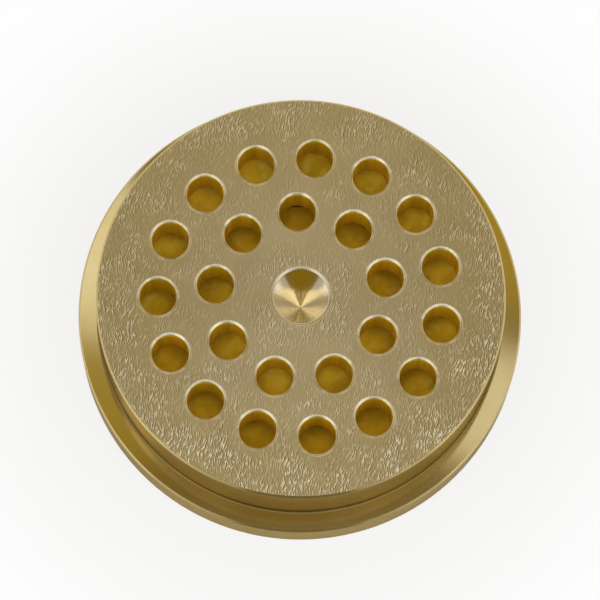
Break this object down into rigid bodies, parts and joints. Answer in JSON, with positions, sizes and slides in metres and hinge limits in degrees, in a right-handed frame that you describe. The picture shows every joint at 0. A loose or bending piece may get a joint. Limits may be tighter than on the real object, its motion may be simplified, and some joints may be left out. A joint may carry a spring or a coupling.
{
  "type": "pasta extrusion die",
  "caption": "Round flanged brass die for a pasta extruder: rings of feed holes and a conical auger seat on the inlet side, a ring slot for sheets of dough on the exit side.",
  "frame": {"origin": "centre of the exit face, on which the die rests", "axes": "+Z along the die's axis, from the exit face to the inlet face; +X through a feed hole of each ring"},
  "size_m": [0.06, 0.06, 0.016],
  "materials": {
    "body_brass": "satin inlet face with fine random scratches, fine-turned and polished walls",
    "disc_brass": "fine-turned faces and channel",
    "nut_steel": "plain bright stainless steel"
  },
  "bodies": {
    "root": {"die_body": "body_brass", "slot_disc": "disc_brass", "disc_nut": "nut_steel"}
  },
  "joints": []
}
